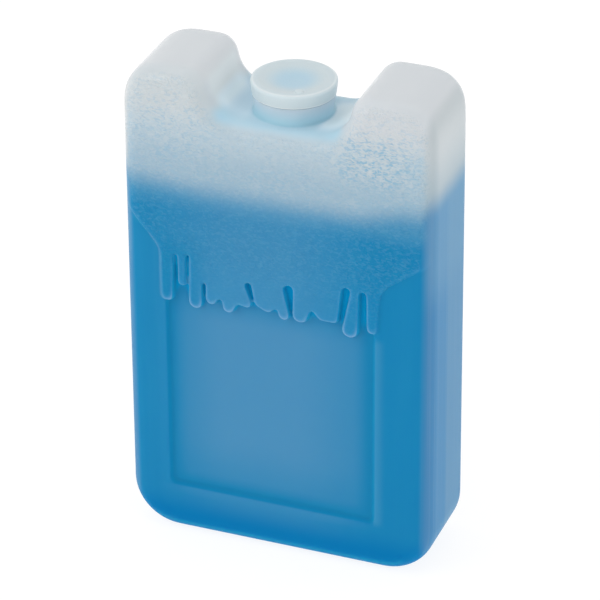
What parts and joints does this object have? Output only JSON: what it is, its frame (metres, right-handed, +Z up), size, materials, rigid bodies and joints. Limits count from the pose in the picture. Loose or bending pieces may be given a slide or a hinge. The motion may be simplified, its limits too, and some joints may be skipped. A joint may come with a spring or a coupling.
{
  "type": "reusable ice pack",
  "caption": "Hard freezer pack: a flat translucent bottle with two horns, a plug in the saddle between them, dripping-frost relief on its faces and blue coolant inside.",
  "frame": {"origin": "middle of the pack's base, on the surface that it stands on", "axes": "+Z up through the filler plug, +X to the right of the front face, which looks along -Y"},
  "size_m": [0.0958, 0.0342, 0.1545],
  "materials": {
    "bottle": "milky translucent polyethylene, satin",
    "plug": "milky white polyethylene, satin",
    "coolant": "clear blue liquid"
  },
  "bodies": {
    "root": {"bottle": "bottle", "plug": "plug", "coolant": "coolant"}
  },
  "joints": []
}
